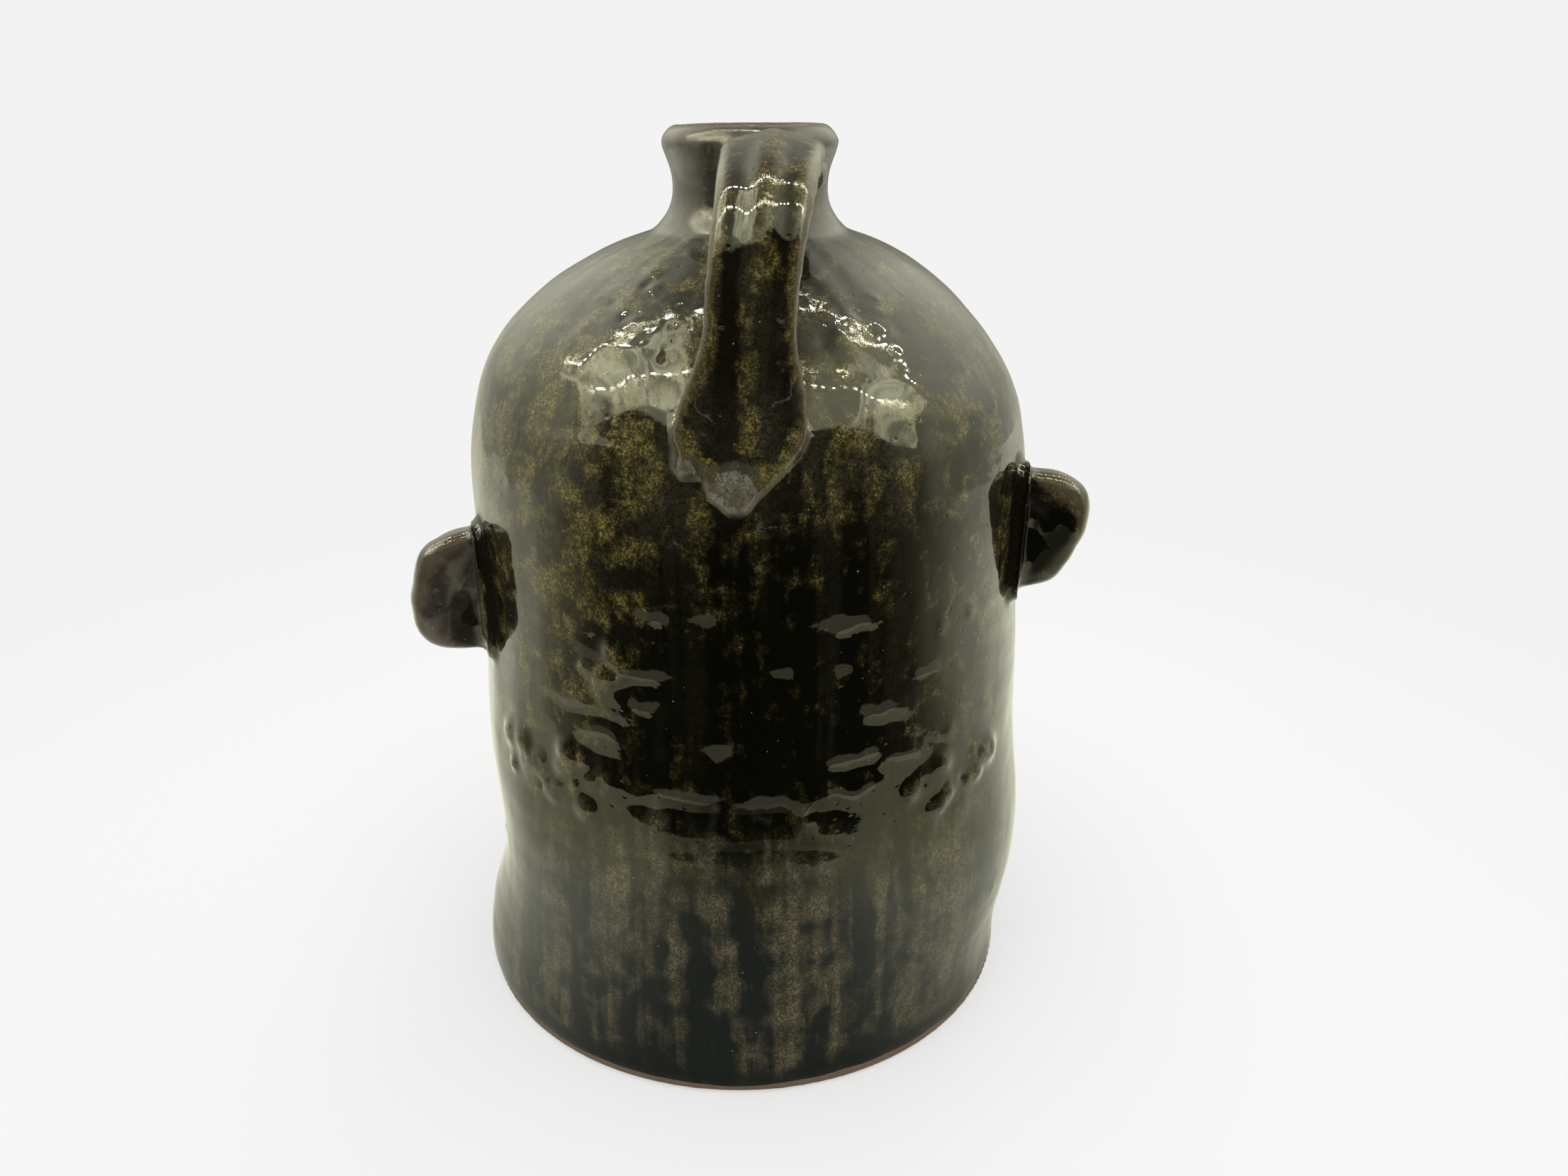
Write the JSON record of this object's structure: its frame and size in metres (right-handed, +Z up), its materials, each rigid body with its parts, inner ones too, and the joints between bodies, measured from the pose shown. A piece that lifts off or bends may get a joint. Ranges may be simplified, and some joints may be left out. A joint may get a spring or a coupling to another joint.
{
  "type": "face jug",
  "caption": "Glazed stoneware jug with a narrow flared neck, a fluted strap handle at the back, slab ears at the sides and an applied clay face at the front.",
  "frame": {"origin": "centre of the flat foot, on the surface that it stands on", "axes": "+Z up along the jug, -Y the way the face looks, +Y towards the strap handle, +X the left side of the face"},
  "size_m": [0.1942, 0.191, 0.2642],
  "materials": {
    "ash_glaze": "glossy olive-brown ash glaze with runs",
    "thin_glaze": "thin glossy brown glaze over grey clay",
    "white_clay": "white clay with a thin clear skin"
  },
  "bodies": {
    "root": {"jug_body": "ash_glaze", "neck_collar": "thin_glaze", "strap_handle": "ash_glaze", "left_ear": "ash_glaze", "right_ear": "ash_glaze", "left_eyeball": "white_clay", "left_upper_lid": "ash_glaze", "left_lower_lid": "ash_glaze", "left_brow": "ash_glaze", "right_eyeball": "white_clay", "right_upper_lid": "ash_glaze", "right_lower_lid": "ash_glaze", "right_brow": "ash_glaze", "nose": "ash_glaze", "upper_lip": "ash_glaze", "lower_lip": "ash_glaze", "upper_tooth_1": "white_clay", "lower_tooth_1": "white_clay", "upper_tooth_2": "white_clay", "lower_tooth_2": "white_clay", "upper_tooth_3": "white_clay", "lower_tooth_3": "white_clay", "upper_tooth_4": "white_clay", "lower_tooth_4": "white_clay", "upper_tooth_5": "white_clay", "lower_tooth_5": "white_clay", "upper_tooth_6": "white_clay", "lower_tooth_6": "white_clay"}
  },
  "joints": []
}
